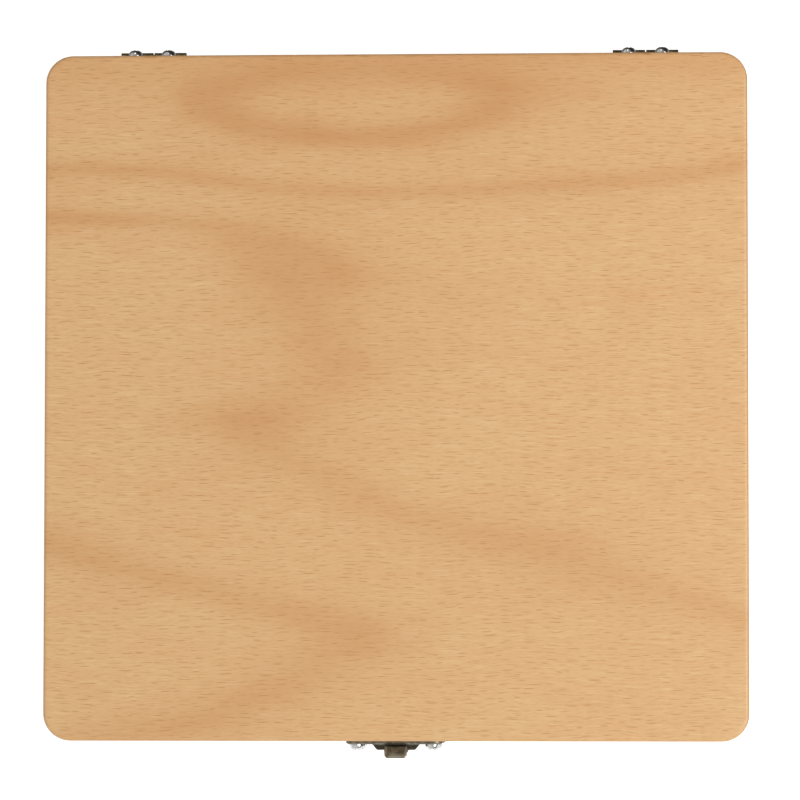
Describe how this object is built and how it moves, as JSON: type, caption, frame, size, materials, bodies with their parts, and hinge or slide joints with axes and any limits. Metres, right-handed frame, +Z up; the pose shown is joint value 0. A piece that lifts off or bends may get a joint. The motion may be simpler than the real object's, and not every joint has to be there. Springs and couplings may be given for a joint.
{
  "type": "wooden watercolor paint box",
  "caption": "Flat square wooden paint box with a hinged lid, snap latch, pans of watercolour in a tray, porcelain mixing palette and brush trough.",
  "frame": {"origin": "centre of the case's underside, on the surface it stands on", "axes": "+X right along the hinge line, +Y towards the hinges, -Y towards the latch, +Z up"},
  "size_m": [0.256, 0.2596, 0.044],
  "materials": {
    "beech_panel": "satin lacquer",
    "beech_rail": "satin lacquer",
    "beech_inside": "bare sanded",
    "bronzed_hinge": "dark bronzed plating",
    "bronzed_latch": "antique bronze plating",
    "steel_pin": "drawn wire",
    "nickel_screw": "nickel plating",
    "white_pan": "moulded polystyrene",
    "porcelain": "clear glaze",
    "paint_white": "dried paint cake",
    "paint_lemon_yellow": "dried paint cake",
    "paint_golden_yellow": "dried paint cake",
    "paint_orange": "dried paint cake",
    "paint_vermilion": "dried paint cake",
    "paint_scarlet": "dried paint cake",
    "paint_crimson": "dried paint cake",
    "paint_rose": "dried paint cake",
    "paint_magenta": "dried paint cake",
    "paint_violet": "dried paint cake",
    "paint_ultramarine": "dried paint cake",
    "paint_cobalt_blue": "dried paint cake",
    "paint_sky_blue": "dried paint cake",
    "paint_turquoise": "dried paint cake",
    "paint_emerald": "dried paint cake",
    "paint_sap_green": "dried paint cake",
    "paint_olive_green": "dried paint cake",
    "paint_yellow_ochre": "dried paint cake",
    "paint_raw_sienna": "dried paint cake",
    "paint_burnt_sienna": "dried paint cake",
    "paint_burnt_umber": "dried paint cake",
    "paint_sepia": "dried paint cake",
    "paint_blue_grey": "dried paint cake",
    "paint_black": "dried paint cake"
  },
  "bodies": {
    "base": {"base_back_rail": "beech_rail", "base_bottom_panel": "beech_panel", "base_front_rail": "beech_rail", "base_left_rail": "beech_rail", "base_right_rail": "beech_rail", "brush_divider": "beech_inside", "hinge_base_screws": "nickel_screw", "latch_lower_plate": "bronzed_latch", "latch_lower_screws": "nickel_screw", "latch_pin": "steel_pin", "left_hinge_base_leaf": "bronzed_hinge", "left_hinge_pin": "steel_pin", "mixing_palette": "porcelain", "paint_black": "paint_black", "paint_blue_grey": "paint_blue_grey", "paint_burnt_sienna": "paint_burnt_sienna", "paint_burnt_umber": "paint_burnt_umber", "paint_cobalt_blue": "paint_cobalt_blue", "paint_crimson": "paint_crimson", "paint_emerald": "paint_emerald", "paint_golden_yellow": "paint_golden_yellow", "paint_lemon_yellow": "paint_lemon_yellow", "paint_magenta": "paint_magenta", "paint_olive_green": "paint_olive_green", "paint_orange": "paint_orange", "paint_raw_sienna": "paint_raw_sienna", "paint_rose": "paint_rose", "paint_sap_green": "paint_sap_green", "paint_scarlet": "paint_scarlet", "paint_sepia": "paint_sepia", "paint_sky_blue": "paint_sky_blue", "paint_turquoise": "paint_turquoise", "paint_ultramarine": "paint_ultramarine", "paint_vermilion": "paint_vermilion", "paint_violet": "paint_violet", "paint_white": "paint_white", "paint_yellow_ochre": "paint_yellow_ochre", "pan_tray": "beech_inside", "pans_back_row": "white_pan", "pans_front_row": "white_pan", "right_hinge_base_leaf": "bronzed_hinge", "right_hinge_pin": "steel_pin"},
    "lid": {"left_hinge_lid_leaf": "bronzed_hinge", "lid_back_rail": "beech_rail", "lid_front_rail": "beech_rail", "lid_left_rail": "beech_rail", "lid_right_rail": "beech_rail", "lid_top_panel": "beech_panel", "right_hinge_lid_leaf": "bronzed_hinge", "hinge_lid_screws": "nickel_screw", "latch_strike_plate": "bronzed_latch", "latch_strike_screws": "nickel_screw"},
    "latch_lever": {"latch_lever": "bronzed_latch"}
  },
  "joints": [
    {"name": "lid_hinge", "type": "hinge", "parent": "base", "child": "lid", "pos_m": [0, 0.1265, 0.028], "axis": [-1, 0, 0], "range_deg": [0, 135]},
    {"name": "latch_hinge", "type": "hinge", "parent": "base", "child": "latch_lever", "pos_m": [0, -0.1265, 0.0228], "axis": [1, 0, 0], "range_deg": [0, 150]}
  ]
}
